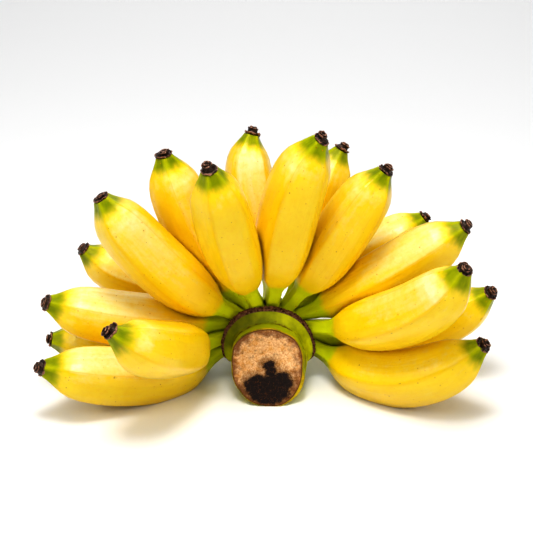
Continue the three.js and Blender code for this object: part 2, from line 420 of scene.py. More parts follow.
bent = {name: get_points(finger) for name, finger in fingers.items()}
for index, (name, finger) in enumerate(fingers.items()):
    shift = np.zeros_like(bent[name])
    crease, neighbour_shade = np.zeros(len(shift)), np.zeros(len(shift))
    for other, path in centrelines.items():
        if other != name:
            depth, away = depth_inside(bent[name], path)
            push = np.where(depth > 0, depth / 2 + PRESS_GAP, 0)
            shift += push[:, None] * away
            # Painted light near each neighbour: a deeper gold as painted shade close in, and the painted
            # highlight fading further out.
            crease = np.maximum(crease, smooth_step(depth / MM, *CREASE_SHADE_DEPTH))
            neighbour_shade = np.maximum(neighbour_shade, smooth_step(depth / MM, *NEIGHBOUR_SHADE_DEPTH))
    pressed = bent[name] + shift
    pressed[:, 2] = rise_off_table(pressed[:, 2])
    set_points(finger, pressed)
    set_attribute(finger, "grown", grown)
    set_attribute(finger, "ridge", off_ridge)
    normals = get_normals(finger)
    # Painted highlight on faces turned up and forward towards the lights, and painted shade on the low
    # undersides.
    sunny = smooth_step(normals @ HIGHLIGHT_SIDE, *HIGHLIGHT_FACING)
    underneath = smooth_step(-normals[:, 2], -0.1, 0.8) * smooth_step(pressed[:, 2] / MM, *UNDERSIDE_SHADE_HEIGHTS)
    outward = np.interp(grown[:, 0], *HIGHLIGHT_ALONG)
    painted_highlight = sunny * outward * (1 - neighbour_shade) * HIGHLIGHT_STRENGTH.get(name, COMMON_HIGHLIGHT)
    set_attribute(finger, "painted_highlight", np.clip(painted_highlight, 0, 1))
    set_attribute(finger, "painted_shade", np.maximum(crease, underneath))
    set_attribute(finger, "seed", np.full(len(pressed), index * SEED_STEP))
    print(name, "pressed by up to, mm:", round(np.linalg.norm(shift, axis=1).max() / MM, 1))

# %% [markdown]
# ## The crown and the stalk
#
# The stalk is turned as one form with the crown's bulge and the scar's rim in its outline. Under the
# stalk there are no fingers, so the crown runs out there. The front end is sawn off at a slant, which
# the bisect tool does in one stroke. A voxel remesh then spreads even faces over it for the fine relief.

# %% The stalk's outline round the axis
STALK_RADIUS = 22.6  # at the bare ends, where there is no crown
STALK_VEER = 0.08  # sideways drift to the left per millimetre of the front end
CUT_FORWARD = 24.5  # centre of the slanted front cut
CUT_SLANT = math.radians(28)  # how far it leans back
RIM_RADIUS = 31.7  # the bract scar's rim
RIM_FOOT, RIM_RISE = 25.0, 6.7  # the radius that the rim begins to rise from, and how far it rises
SWELL = 1.7  # how far the skin swells behind the cut, at the lower right
SWELL_ARC = ([-60, -35, 5, 25], [0, 1, 1, 0])
# Fan angles between which a form stands full, and over how many degrees it fades beyond them.
CROWN_ARC = {"right": -6, "left": 184, "fade": 30}
ROOT_ARC = {"right": 2, "left": 178, "fade": 16}  # behind the rim the crown ends sooner
SCAR_ARC = {"right": -1, "left": 179, "fade": 30}
CROWN_OUTLINE = [  # [forward, radius]
    [70, STALK_RADIUS], [24, STALK_RADIUS], [12, STALK_RADIUS], [8, 23.0], [6, 23.8], [4.8, 25.2],
    [3.8, 27], [2.9, 28.8], [2.3, 29.8], [2.1, 30.6], [1.7, 31.3], [0.9, RIM_RADIUS], [-0.5, RIM_RADIUS],
    [-1.4, 31.2], [-2.2, 30.3], [-3.2, 29.4], [-10, 28.6], [-20, 28], [-26, 27.2], [-29, 25.4],
    [-31.5, 23.4], [-34, STALK_RADIUS], [-36.2, STALK_RADIUS], [-36.9, 22], [-STALK_REAR, 21],
]
SAWN_SHAPE = [  # [fan, radius]: the front of the stalk is not quite round
    [-90, 22.2], [-60, 24.8], [-40, 25.4], [-20, 25.2], [0, 24.4], [12, 25.0], [28, 25.4], [42, 25.2],
    [62, 23.4], [95, 22.9], [120, 23.9], [138, 25.0], [150, 25.4], [160, 24.0], [180, 22.3], [200, 22.2],
    [219, 21.3], [243, 21.7], [270, 22.2],
]
RIM_LIFT = [  # [fan, millimetres that the rim reaches further out]
    [-90, -1], [-20, -1], [0, -0.5], [30, 0.1], [55, 1.0], [93, 0.9], [125, 2.3], [150, 1.4], [166, 0.5],
    [180, -0.5], [270, -1],
]


def from_below(fan):
    """The same fan angle, counted from straight down: -90 on its right side, up to 270 on its left."""
    return (fan + 90) % 360 - 90


def arc_share(arc, fan):
    """How much of an arc's height stands at a fan angle."""
    turned = from_below(fan)
    right = smooth_step(turned, arc["right"] - arc["fade"], arc["right"])
    return right * (1 - smooth_step(turned, arc["left"], arc["left"] + arc["fade"]))


def skin_radius(radius, forward, fan):
    """An outline radius once crown and rim have run out towards the underside and the front is shaped."""
    turned = from_below(fan)
    crown = np.clip(radius - STALK_RADIUS, 0, CROWN_RADIUS - STALK_RADIUS) * arc_share(CROWN_ARC, fan)
    crown *= 1 - smooth_step(-forward, 1.5, 4) * (1 - arc_share(ROOT_ARC, fan))
    rim = np.clip(radius - CROWN_RADIUS, 0, None) * arc_share(SCAR_ARC, fan)
    front = smooth_step(forward, 1, 8) * (np.interp(turned, *zip(*SAWN_SHAPE)) - STALK_RADIUS)
    edge = CUT_FORWARD - math.tan(CUT_SLANT) * radius * np.sin(np.radians(fan))
    swell = SWELL * np.interp(turned, *SWELL_ARC) * smooth_step(edge - forward, 0.8, 4)
    front += swell * smooth_step(forward, 3, 8)
    on_rim = np.clip((radius - RIM_FOOT) / RIM_RISE, 0, 1)
    lift = on_rim * np.interp(turned, *zip(*RIM_LIFT)) * arc_share(CROWN_ARC, fan)
    return np.minimum(radius, STALK_RADIUS) + crown + rim + front + lift


rim_radii = skin_radius(np.full(2, RIM_RADIUS), np.zeros(2), np.array([90.0, -20.0]))
print("rim radius at 90 and -20 degrees, mm:", rim_radii.round(1))

# %% Turn the stalk, fade the crown and let the front veer to the left
stalk = ring_form("crown_and_fruit_stalk", CROWN_OUTLINE, 144)
points = get_points(stalk) / MM
forward = points[:, 0]
fan = np.degrees(np.arctan2(points[:, 2], points[:, 1]))
kept = skin_radius(np.hypot(points[:, 1], points[:, 2]), forward, fan)
side = kept * np.cos(np.radians(fan)) - STALK_VEER * np.clip(forward, 0, None)
up = kept * np.sin(np.radians(fan)) + AXIS_HEIGHT
set_points(stalk, np.stack([side * MM + SCAR_X, SCAR_Y - forward * MM, np.maximum(up, 0) * MM], axis=1))
print("stalk rings:", len(CROWN_OUTLINE), "points:", len(points))

# %% Saw off the front end
cut_centre = place(0, 0, CUT_FORWARD)
cut_normal = Vector((0, -math.cos(CUT_SLANT), math.sin(CUT_SLANT)))
VOXEL = 0.6 * MM
select_only(stalk)
bpy.ops.object.mode_set(mode="EDIT")
bpy.ops.mesh.select_all(action="SELECT")
bpy.ops.mesh.bisect(plane_co=cut_centre, plane_no=cut_normal, use_fill=True, clear_outer=True)
bpy.ops.mesh.select_all(action="SELECT")
bpy.ops.mesh.normals_make_consistent(inside=False)
bpy.ops.object.mode_set(mode="OBJECT")
apply_modifier(stalk, "REMESH", mode="VOXEL", voxel_size=VOXEL, adaptivity=0)
apply_modifier(stalk, "SMOOTH", factor=0.5, iterations=2)
print("stalk faces:", len(stalk.data.polygons))

# %% [markdown]
# ## Relief on the stalk
#
# The scar's rim is torn and corky, the sawn pith has dried in small pits, and the skin is only slightly
# uneven. Each zone gets a weight per point, and the points move along their normals by a noise that is
# scaled to the zone: about 1.5 mm lumps on the cork and 1 mm pits in the pith.

# %% Find the zones
RIM_WIDTH = [[-34, 0], [-26, 0.6], [-6, 1.0], [6, 1.0], [174, 1.0], [196, 0.8], [212, 0]]  # [fan, share]
LINE_FORWARD = 5.5  # the bract's brown line on top of the stalk, forward of the scar
LINE_SWEEP = 10.0  # how much further forward it runs at the sides


def noise_at(points, size, seed, octaves=3):
    """Smooth noise from about -1 to 1 with features of one size, in millimetres."""
    offset = Vector((seed * 13.1, seed * 7.7, seed * 3.3))
    return np.array([noise.fractal(Vector(p) / size + offset, 1.0, 2.0, octaves) for p in points])


points = get_points(stalk)
local = points / MM - np.array([SCAR_X / MM, SCAR_Y / MM, AXIS_HEIGHT])
forward = -local[:, 1]
across = local[:, 0] + STALK_VEER * np.clip(forward, 0, None)
radius = np.hypot(across, local[:, 2])
fan = np.degrees(np.arctan2(local[:, 2], across))
profile = np.interp(-forward, *zip(*[[-f, r] for f, r in CROWN_OUTLINE]))
under_skin = np.clip(skin_radius(profile, forward, fan) - radius, 0, None)
to_rear = -forward - STALK_REAR
to_cut = np.maximum((points - np.array(cut_centre)) @ np.array(cut_normal) / MM, to_rear)
turned = from_below(fan)
rim_width = np.interp(turned, *zip(*RIM_WIDTH))
cork = smooth_step(-np.abs(forward - 0.2), -2.5, -1.9) * smooth_step(-under_skin, -3.2, -2.4)
cork *= smooth_step(rim_width, 0.1, 0.5)
pith = smooth_step(to_cut, -0.5, -0.2) * smooth_step(under_skin, 0.5, 1.1)
scar_line = forward - (LINE_FORWARD + LINE_SWEEP * (1 - np.sin(np.radians(fan))))
# A darker olive towards the upper left of the crown.
olive = smooth_step(turned, 55, 135) * (1 - 0.6 * smooth_step(np.abs(turned - 90), 60, 100))
set_attribute(stalk, "cork", cork)
set_attribute(stalk, "scar_line", scar_line)
set_attribute(stalk, "olive", olive)
set_attribute(stalk, "under_skin", under_skin)
set_attribute(stalk, "to_cut", to_cut)
print("points on cork:", int((cork > 0.5).sum()), "on pith:", int((pith > 0.5).sum()))

# %% Rot on the front sawn end
ROT_LOBES = [  # [right, up, half width, half height], mm on the sawn end from its middle
    [2.4, 1.4, 4.0, 3.4], [3.2, -2.6, 3.6, 3.8], [-6.0, -11.0, 8.0, 6.6], [10.0, -9.5, 7.2, 7.0],
    [2.5, -9.5, 5.0, 5.5], [2.0, -16.0, 13.8, 7.6],
]
FAR_FROM_ROT = 60.0  # millimetres
cut_up = Vector((0, math.sin(CUT_SLANT), math.cos(CUT_SLANT)))
face_right = local[:, 0] + STALK_VEER * CUT_FORWARD
face_up = (points - np.array(cut_centre)) @ np.array(cut_up) / MM
rot = np.full(len(points), FAR_FROM_ROT)
for right, up, half_width, half_height in ROT_LOBES:
    reach = np.hypot((face_right - right) / half_width, (face_up - up) / half_height)
    rot = np.minimum(rot, (reach - 1) * min(half_width, half_height))
rot[forward < 0] = FAR_FROM_ROT  # the rear cut has stayed dry
rot += 1.3 * noise_at(points / MM, 3.2, 5, 4)
set_attribute(stalk, "rot", rot)
print("points in the rot:", int(((rot < 0) & (pith > 0.5)).sum()))

# %% Roughen cork and pith
CORK_LUMP, PITH_PIT, SKIN_WAVE = 0.55, 0.28, 0.25  # heights in millimetres
PITH_SINK = 0.4  # how far the drying pith has shrunk into its rind
GROOVE_DEPTH = 0.4  # along the bract's brown line
lumps = noise_at(points / MM, 1.5, 1)
pits = noise_at(points / MM, 1.1, 2)
waves = noise_at(points / MM, 9.0, 3, 2)
groove = smooth_step(-np.abs(scar_line - 0.6), -1.2, -0.2) * smooth_step(-under_skin, -1.5, -0.5)
groove *= 1 - pith
lift = CORK_LUMP * cork * lumps + pith * (PITH_PIT * pits - PITH_SINK)
lift += SKIN_WAVE * waves * (1 - pith) - GROOVE_DEPTH * groove
moved = points + get_normals(stalk) * (lift * MM)[:, None]
moved[:, 2] = np.maximum(moved[:, 2], 0)
set_points(stalk, moved)
print("relief from", round(lift.min(), 2), "to", round(lift.max(), 2), "mm")

# %% [markdown]
# ## The dried flower ends
#
# Each tip carries the brittle remnant of its flower. It is shaped like a small hat: a thin, wavy brim that
# covers the tip, and a folded knob with a dented top. One hat is drawn ring by ring and subdivided. Each
# copy then gets its own waves and folds, so that no two are alike. Some are also turned a little towards
# the front, and in the back row away from it.

# %% Model one flower end
FLOWER_SIDES = 24
FLOWER_OUTLINE = [  # [height, radius] in millimetres
    [-2.2, 3.2], [-0.5, 4.2], [0.0, 4.6], [0.2, 5.0], [0.6, 5.4], [1.1, 5.3], [1.2, 4.8], [0.9, 4.2],
    [1.0, 3.7], [1.9, 3.2], [2.9, 3.1], [3.7, 3.3], [4.2, 3.2], [4.2, 2.8], [3.7, 2.5], [4.0, 2.2],
    [4.7, 2.2], [5.1, 2.0], [5.0, 1.5], [4.4, 1.1], [4.1, 0.8], [4.2, 0.4],
]
flower_end = ring_form("flower_end", FLOWER_OUTLINE, FLOWER_SIDES)
apply_modifier(flower_end, "SUBSURF", levels=2, render_levels=2)
print("flower end faces:", len(flower_end.data.polygons))

# %% Fold a copy for each tip
TIP_GAP = 0.2  # between the tip and the flower end's own zero height
FOLD_DEPTH, CRINKLE_DEPTH, BRIM_WAVE, KNOB_LEAN = 0.4, 0.16, 0.9, 2.2  # millimetres
BRIM_TOP = 1.0  # where the knob starts
FLOWER_SIZE = {  # as a share of the common size
    "near_left": 1.1, "near_right": 0.95, "low_left": 1.05, "upper_left": 1.1, "mid_left": 1.05,
    "low_right": 1.05, "top": 0.97,
}
FLOWER_LEAN = {  # degrees that a flower end turns towards the front, away from its finger's own line
    "low_left": 16, "near_left": 14, "near_right": 14, "low_right": 16, "mid_left": 8, "mid_right": 10,
    "top_back": -8, "upper_right_back": -8, "high_right_back": -8,
}
KNOB_HEIGHT = {  # how far a knob still stands up, as a share
    "upper_left": 0.55, "high_left": 0.5, "mid_left_back": 0.6, "mid_left": 0.6, "low_left_back": 0.7,
    "high_right_back": 0.7,
}


def tip_frame(name):
    """The frame at a finger's tip, with X along the finger or leant off it."""
    line = centrelines[name]["line"]
    along = Vector(line[-1] - line[-2]).normalized()
    sideways = along.cross(towards_camera).normalized()
    leant = Matrix.Rotation(math.radians(FLOWER_LEAN.get(name, 0)), 3, sideways) @ along
    frame_matrix = leant.to_track_quat("X", "Z").to_matrix().to_4x4()
    frame_matrix.translation = Vector(line[-1]) + leant * TIP_GAP * MM
    return frame_matrix


flower_ends = {}
for index, name in enumerate(FINGERS):
    piece = copy_of(flower_end, f"flower_{name}")
    points = get_points(piece) / MM
    round_radius = np.hypot(points[:, 1], points[:, 2])
    on_brim = smooth_step(round_radius, 3.7, 5.2)
    curl = noise_at(np.stack([0 * round_radius, points[:, 1], points[:, 2]], axis=1), 3.2, 20 + index, 2)
    folds = noise_at(points, 1.9, 40 + index, 3)
    crinkles = noise_at(points, 0.7, 60 + index, 2)
    folded = points + get_normals(piece) * (FOLD_DEPTH * folds + CRINKLE_DEPTH * crinkles)[:, None]
    above = np.clip(folded[:, 0] - BRIM_TOP, 0, None)
    folded[:, 0] += above * (KNOB_HEIGHT.get(name, 1) - 1) + BRIM_WAVE * curl * on_brim
    knob = smooth_step(points[:, 0], 1.5, 4.2)[:, None]
    wobble = np.array([0, noise.noise((index * 2.3, 0.5, 0.1)), noise.noise((0.7, index * 3.1, 0.9))])
    folded += KNOB_LEAN * knob * wobble
    lip = smooth_step(round_radius, 4.6, 5.1)
    first_ring = smooth_step(points[:, 0], 3.4, 4.0) * smooth_step(round_radius, 2.6, 3.0)
    second_ring = smooth_step(points[:, 0], 4.6, 4.9) * smooth_step(round_radius, 1.3, 1.7)
    crest = np.maximum(np.maximum(lip, first_ring), second_ring)
    # Lighter crests of the brim and rings: partly wear and partly painted light, with the grooves left dark
    # as painted shade.
    set_attribute(piece, "worn_and_lit", crest * smooth_step(folds + 0.5 * crinkles, -0.35, 0.3))
    set_points(piece, folded * FLOWER_SIZE.get(name, 1) * MM)
    piece.data.transform(tip_frame(name))
    flower_ends[name] = piece
print("flower ends:", len(flower_ends))

# %% [markdown]
# ## Material helpers
#
# Colours are picked as sRGB hex values and turned to linear light by one function. Another adds a shader
# node with its settings and links. The short ones below them make the few kinds of node that every
# material here is built from: a value stored on the points, a noise, a change of range, a sum and a blend.

# %% Colour and node functions
def colour(hex_value):
    """sRGB hex to linear RGBA."""
    channels = [int(hex_value[i:i + 2], 16) / 255 for i in (1, 3, 5)]
    return [c / 12.92 if c <= 0.04045 else ((c + 0.055) / 1.055) ** 2.4 for c in channels] + [1.0]


def add_node(tree, kind, reads=None, **settings):
    """Adds a shader node. reads gives inputs, by name or number, a value, a socket or a node to read."""
    made = tree.nodes.new(f"ShaderNode{kind}")
    for setting, value in settings.items():
        setattr(made, setting, value)
    inputs = [socket for socket in made.inputs if socket.enabled]
    for key, value in (reads or {}).items():
        socket = inputs[key] if isinstance(key, int) else next(s for s in inputs if s.name == key)
        if isinstance(value, bpy.types.Node):
            value = next(s for s in value.outputs if s.enabled)
        if isinstance(value, bpy.types.NodeSocket):
            tree.links.new(value, socket)
        elif isinstance(value, str):
            socket.default_value = colour(value)
        else:
            socket.default_value = value
    return made


def stored(tree, name, output="Fac"):
    """What set_attribute stored on the points: a number, or with output "Vector" a vector."""
    return add_node(tree, "Attribute", attribute_name=name).outputs[output]


def noise_texture(tree, place_at, scale, detail, roughness=0.5, seed=None):
    """Noise from 0 to 1. With a seed to read, it differs from one finger to the next."""
    reads = {"Vector": place_at, "Scale": scale, "Detail": detail, "Roughness": roughness}
    if seed is None:
        return add_node(tree, "TexNoise", reads)
    return add_node(tree, "TexNoise", {**reads, "W": seed}, noise_dimensions="4D")


def remap(tree, value, source, target=(0, 1), smooth=False):
    """The range source stretched to the range target, and held at its ends. Either may run downwards."""
    reads = {"Value": value, "From Min": source[0], "From Max": source[1], "To Min": target[0],
             "To Max": target[1]}
    return add_node(tree, "MapRange", reads, interpolation_type="SMOOTHSTEP" if smooth else "LINEAR")


def calc(tree, operation, *values):
    return add_node(tree, "Math", dict(enumerate(values)), operation=operation)


def mix(tree, share, first, second):
    """Blends two colours: all first where share is 0, all second where it is 1."""
    return add_node(tree, "Mix", {"Factor": share, "A": first, "B": second}, data_type="RGBA")


def drive(shader, name, node):
    """Lets a node's result drive one of the shader's inputs."""
    result = next(socket for socket in node.outputs if socket.enabled)
    shader.id_data.links.new(result, shader.inputs[name])


def new_material(name, **constants):
    """A material with one Principled shader, and the constants on its own sockets."""
    material = bpy.data.materials.new(name)
    material.use_nodes = True
    tree = material.node_tree
    tree.nodes.clear()
    inputs = {key.replace("_", " "): value for key, value in constants.items()}
    shader = add_node(tree, "BsdfPrincipled", inputs)
    add_node(tree, "OutputMaterial", {"Surface": shader})
    return material, tree, shader


print("lime green in linear light:", [round(v, 3) for v in colour("#94A80A")])

# %% [markdown]
# ## Banana peel
#
# Ripe peel is a smooth, waxy skin: warm yellow and satin. A pale cream is painted on the sides that face up
# and forward, as a painted highlight where the lights fall. Noise breaks it up, and it fades near
# neighbours that shade it. A deeper gold is painted shade in the creases and low underneath. The finger
# ripens last at the neck and the tip, which stay lime green and turn yellow in streaks along the finger.
# The ridges are a purer yellow and carry small brown rub marks, and fine golden and brown freckles are
# strewn all over. The pattern follows the finger, so it reads the straight banana's own coordinates and the
# values stored on its points. A thin clear coat is the wax's gloss. It is weak on the green parts, which
# are matt.

# %% Peel: where the green is
# The deep gold is painted shade, and the cream wax colour is a painted highlight.
YELLOW, PALE_YELLOW, RIPE_YELLOW, SHADE_GOLD = "#F6CE02", "#F9D828", "#F0BC18", "#A87808"
HIGHLIGHT_CREAM, RIDGE_YELLOW, RUB_BROWN = "#F0E4A6", "#F2C000", "#7A4A18"
FRECKLE_GOLD, FRECKLE_BROWN = "#DC9C0C", "#9C6016"
TIP_GREEN, TIP_LIME, NECK_LIME, NECK_PALE_LIME = "#5E7404", "#BEC008", "#BCCA0E", "#E4EC20"
SHADED_GREEN = "#4E5206"
NECK_END, TIP_START = (0.215, 0.16), (0.938, 0.99)  # shares of the length where green and yellow meet


def peel_place(drawn_out):
    """The straight banana's own place in millimetres, for patterns drawn out along the finger."""
    size = (BANANA_LENGTH / drawn_out, BANANA_RADIUS, BANANA_RADIUS)
    return add_node(tree, "VectorMath", {0: grown_at, 1: size}, operation="MULTIPLY")


peel, tree, peel_shader = new_material(
    "ripe_banana_peel", IOR=1.45, Specular_IOR_Level=0.5, Specular_Tint=YELLOW, Coat_Roughness=0.32)
grown_at = stored(tree, "grown", "Vector")
seed_at = stored(tree, "seed")
ridge_at = stored(tree, "ridge")
share_at = add_node(tree, "SeparateXYZ", {0: grown_at}).outputs["X"]
in_mm, rub_at, streak_at = peel_place(1), peel_place(2), peel_place(10)
streaks = noise_texture(tree, streak_at, 0.28, 4, seed=seed_at)
ragged = calc(tree, "MULTIPLY_ADD", streaks, 0.05, share_at)
neck_green = remap(tree, ragged, NECK_END, smooth=True)
tip_green = remap(tree, ragged, TIP_START, smooth=True)
green = calc(tree, "MAXIMUM", neck_green, tip_green)
print("peel green masks ready")

# %% Peel: yellow with painted highlight and shade, and green
clouds = noise_texture(tree, in_mm, 0.09, 4, seed=seed_at)
facet = remap(tree, ridge_at, (0.02, 0.1), (-0.3, 0.05), smooth=True)
pale_sum = calc(tree, "ADD", clouds, facet)
pale = remap(tree, pale_sum, (0.3, 0.75))
yellow = mix(tree, pale, YELLOW, PALE_YELLOW)
# Painted highlight: a pale cream on the faces turned to the lights, broken up by noise.
highlight_at = stored(tree, "painted_highlight")
blotches = noise_texture(tree, in_mm, 0.22, 6, roughness=0.68, seed=seed_at)
highlight_breakup = calc(tree, "SUBTRACT", calc(tree, "ADD", blotches, streaks), 1.05)
broken_highlight = calc(tree, "MULTIPLY_ADD", highlight_breakup, 0.9, highlight_at)
painted_highlight = remap(tree, broken_highlight, (0.12, 0.95), (0, 0.95))
yellow = mix(tree, painted_highlight, yellow, HIGHLIGHT_CREAM)
specks = noise_texture(tree, in_mm, 0.4, 5, roughness=0.6, seed=seed_at)
ripe_share = remap(tree, specks, (0.5, 0.72), (0, 0.32))
yellow = mix(tree, ripe_share, yellow, RIPE_YELLOW)
# Painted shade: a deeper gold in the creases and low underneath, and a darker green where the green parts
# lie there.
shade_at = stored(tree, "painted_shade")
shade_share = calc(tree, "MULTIPLY", shade_at, 0.32)
yellow = mix(tree, shade_share, yellow, SHADE_GOLD)
ridge_near = remap(tree, ridge_at, (0.28, 0.05), (-0.22, 0.18))
lime_share = calc(tree, "ADD", streaks, ridge_near)
tip_limes = mix(tree, lime_share, TIP_GREEN, TIP_LIME)
neck_limes = mix(tree, streaks, NECK_LIME, NECK_PALE_LIME)
at_neck = calc(tree, "LESS_THAN", share_at, 0.5)
limes = mix(tree, at_neck, tip_limes, neck_limes)
shaded = calc(tree, "MULTIPLY", shade_at, 0.6)
limes = mix(tree, shaded, limes, SHADED_GREEN)
greened = mix(tree, green, yellow, limes)
print("peel nodes for yellow and green:", len(tree.nodes))

# %% Peel: freckles, rub marks and ridges
cells = add_node(tree, "TexVoronoi", {"Vector": in_mm, "W": seed_at, "Scale": 0.5}, voronoi_dimensions="4D")
cell_pick = add_node(tree, "SeparateColor", {0: cells.outputs["Color"]})
strewn = calc(tree, "MULTIPLY_ADD", specks, 1.6, cell_pick)
freckle_size = remap(tree, strewn, (0.8, 1.8), (0, 0.27))
freckle_edge = calc(tree, "SUBTRACT", freckle_size, cells.outputs["Distance"])
freckles = remap(tree, freckle_edge, (0, 0.09), (0, 0.7))
freckle_tint = mix(tree, cell_pick.outputs[1], FRECKLE_GOLD, FRECKLE_BROWN)
freckled = mix(tree, freckles, greened, freckle_tint)
rubs = noise_texture(tree, rub_at, 0.5, 5, roughness=0.65, seed=seed_at)
rub_near = remap(tree, ridge_at, (0.25, 0), (0, 0.12))
rub_sum = calc(tree, "ADD", rubs, rub_near)
rub_marks = remap(tree, rub_sum, (0.74, 0.8), (0, 0.55), smooth=True)
rubbed = mix(tree, rub_marks, freckled, RUB_BROWN)
ridge_line = remap(tree, ridge_at, (0.028, 0.006), (0, 0.45))
off_green = calc(tree, "SUBTRACT", 1, green)
ridge_line = calc(tree, "MULTIPLY", ridge_line, off_green)
rubbed = mix(tree, ridge_line, rubbed, RIDGE_YELLOW)
drive(peel_shader, "Base Color", rubbed)
print("peel nodes with marks:", len(tree.nodes))

# %% Peel: sheen and relief
sheen = noise_texture(tree, in_mm, 0.35, 3)
gloss = remap(tree, sheen, (0.3, 0.7), (0.34, 0.46))
drive(peel_shader, "Roughness", gloss)
dull_green = remap(tree, green, (0, 1), (0.75, 0.1))
dull_neck = remap(tree, share_at, (0.18, 0.42), (0.1, 1))
waxy = calc(tree, "MINIMUM", dull_green, dull_neck)
drive(peel_shader, "Coat Weight", waxy)
waves = noise_texture(tree, streak_at, 0.35, 2, seed=seed_at)
broad = add_node(tree, "Bump", {"Height": waves, "Strength": 0.45, "Distance": 0.0012})
pores = noise_texture(tree, in_mm, 1.6, 3)
fine = add_node(tree, "Bump", {"Height": pores, "Strength": 0.2, "Distance": 0.0003, "Normal": broad})
drive(peel_shader, "Normal", fine)
print("peel nodes:", len(tree.nodes))

# %% [markdown]
# ## Dried flower
#
# The flower's remnant is shrivelled plant matter: almost black with small glints, and a lighter brown on
# the crests of its folds and rings, partly rubbed wear and partly painted light, with painted shade in
# between.

# %% Dried flower material
DRIED_BLACK, DRIED_BROWN, WORN_AND_LIT_BROWN = "#0A0503", "#2C1A14", "#A4765E"
dried, tree, dried_shader = new_material(
    "dried_flower", Roughness=0.3, Specular_IOR_Level=0.8, Specular_Tint="#DCC0AC")
object_at = add_node(tree, "TexCoord").outputs["Object"]
worn_and_lit_at = stored(tree, "worn_and_lit")
grain = noise_texture(tree, object_at, 900, 4)
dark = mix(tree, grain, DRIED_BLACK, DRIED_BROWN)
# Lighter brown on the crests: partly wear, partly painted light.
worn_and_lit_share = calc(tree, "MULTIPLY", worn_and_lit_at, 0.9)
worn_and_lit = mix(tree, worn_and_lit_share, dark, WORN_AND_LIT_BROWN)
drive(dried_shader, "Base Color", worn_and_lit)
rough = add_node(tree, "Bump", {"Height": grain, "Strength": 0.6, "Distance": 0.0005})
drive(dried_shader, "Normal", rough)
print("dried flower nodes:", len(tree.nodes))

# %% [markdown]
# ## Stalk, scar and pith
#
# The stalk is fresh green plant skin, mottled green and lime and a darker olive towards the upper left of
# the crown, with a rough brown line where a bract sat.
# The rim round the crown is dry cork. The sawn ends show tan, fibrous pith inside a thin yellow rind, and
# the front one's wet lower half has rotted black. Each zone is told by how deep a point lies under the skin
# and how near a cut, which were stored on the points.

# %% Stalk: green skin with the bract's brown line
SKIN_GREEN, SKIN_LIME, SKIN_OLIVE = "#949C0A", "#D2D60E", "#565A06"
COLLAR_GREEN, LINE_BROWN = "#A8B012", "#5E430F"
stem, tree, stem_shader = new_material("green_stalk_cork_and_pith", Specular_IOR_Level=0.2)
object_at = add_node(tree, "TexCoord").outputs["Object"]
mottle = noise_texture(tree, object_at, 130, 4)
mottle_share = remap(tree, mottle, (0.35, 0.68))
skin = mix(tree, mottle_share, SKIN_GREEN, SKIN_LIME)
# A darker olive towards the upper left of the crown.
olive_at = stored(tree, "olive")
olive_share = calc(tree, "MULTIPLY", olive_at, 0.75)
skin = mix(tree, olive_share, skin, SKIN_OLIVE)
line_at = stored(tree, "scar_line")
collar = remap(tree, line_at, (0.6, 3.5), (0, 0.85), smooth=True)
collared = mix(tree, collar, skin, COLLAR_GREEN)
wander = calc(tree, "MULTIPLY_ADD", mottle, 4.0, line_at)
off_line = calc(tree, "SUBTRACT", wander, 2.4)
off_line = calc(tree, "ABSOLUTE", off_line)
patchy = noise_texture(tree, object_at, 300, 4)
patchy = remap(tree, patchy, (0.44, 0.58), (0, 0.85))
on_line = remap(tree, off_line, (1.1, 0.2))
line = calc(tree, "MULTIPLY", patchy, on_line)
lined = mix(tree, line, collared, LINE_BROWN)
print("stalk skin nodes:", len(tree.nodes))

# %% Stalk: cork rim
CORK_DARK, CORK_PALE = "#2A1610", "#8E6450"
cork_at = stored(tree, "cork")
crumbs = noise_texture(tree, object_at, 700, 4, roughness=0.6)
cork_brown = mix(tree, remap(tree, crumbs, (0.35, 0.65)), CORK_DARK, CORK_PALE)
cork_mask = remap(tree, cork_at, (0.3, 0.6))
corked = mix(tree, cork_mask, lined, cork_brown)
print("stalk cork nodes:", len(tree.nodes))

# %% Stalk: rind and pith on the sawn ends
RIND_OLIVE, RIND_YELLOW, RIND_BROWN = "#6C6A0A", "#D8B410", "#4A2810"
PITH_TAN, PITH_PALE, PITH_ORANGE = "#C8864A", "#FFDCA8", "#E09A3C"
PITH_SPECK, BRUISE_BROWN = "#6E3A1E", "#784626"
under_skin_at = stored(tree, "under_skin")
on_cut = remap(tree, stored(tree, "to_cut"), (-0.6, -0.35))
rind = mix(tree, mottle_share, RIND_OLIVE, RIND_YELLOW)
rinded = mix(tree, on_cut, corked, rind)
fibres = noise_texture(tree, object_at, 900, 5, roughness=0.75)
tan = mix(tree, remap(tree, fibres, (0.34, 0.66)), PITH_TAN, PITH_PALE)
warmth = noise_texture(tree, object_at, 260, 3)
warm_share = remap(tree, warmth, (0.45, 0.65), (0, 0.5))
tan = mix(tree, warm_share, tan, PITH_ORANGE)
specks = add_node(tree, "TexVoronoi", {"Vector": object_at, "Scale": 620})
speck_pick = add_node(tree, "SeparateColor", {0: specks.outputs["Color"]})
speck_size = remap(tree, speck_pick, (0.55, 1), (0, 0.3))
speck_edge = calc(tree, "SUBTRACT", speck_size, specks.outputs["Distance"])
speckled = remap(tree, speck_edge, (0, 0.12), (0, 0.6))
tan = mix(tree, speckled, tan, PITH_SPECK)
bruise = noise_texture(tree, object_at, 190, 5, roughness=0.65)
edge_dark = remap(tree, under_skin_at, (8.5, 1.0), (0, 0.32))
bruise_sum = calc(tree, "ADD", bruise, edge_dark)
bruised = remap(tree, bruise_sum, (0.56, 0.8), (0, 0.85))
browned = mix(tree, bruised, tan, BRUISE_BROWN)
print("stalk nodes with pith:", len(tree.nodes))

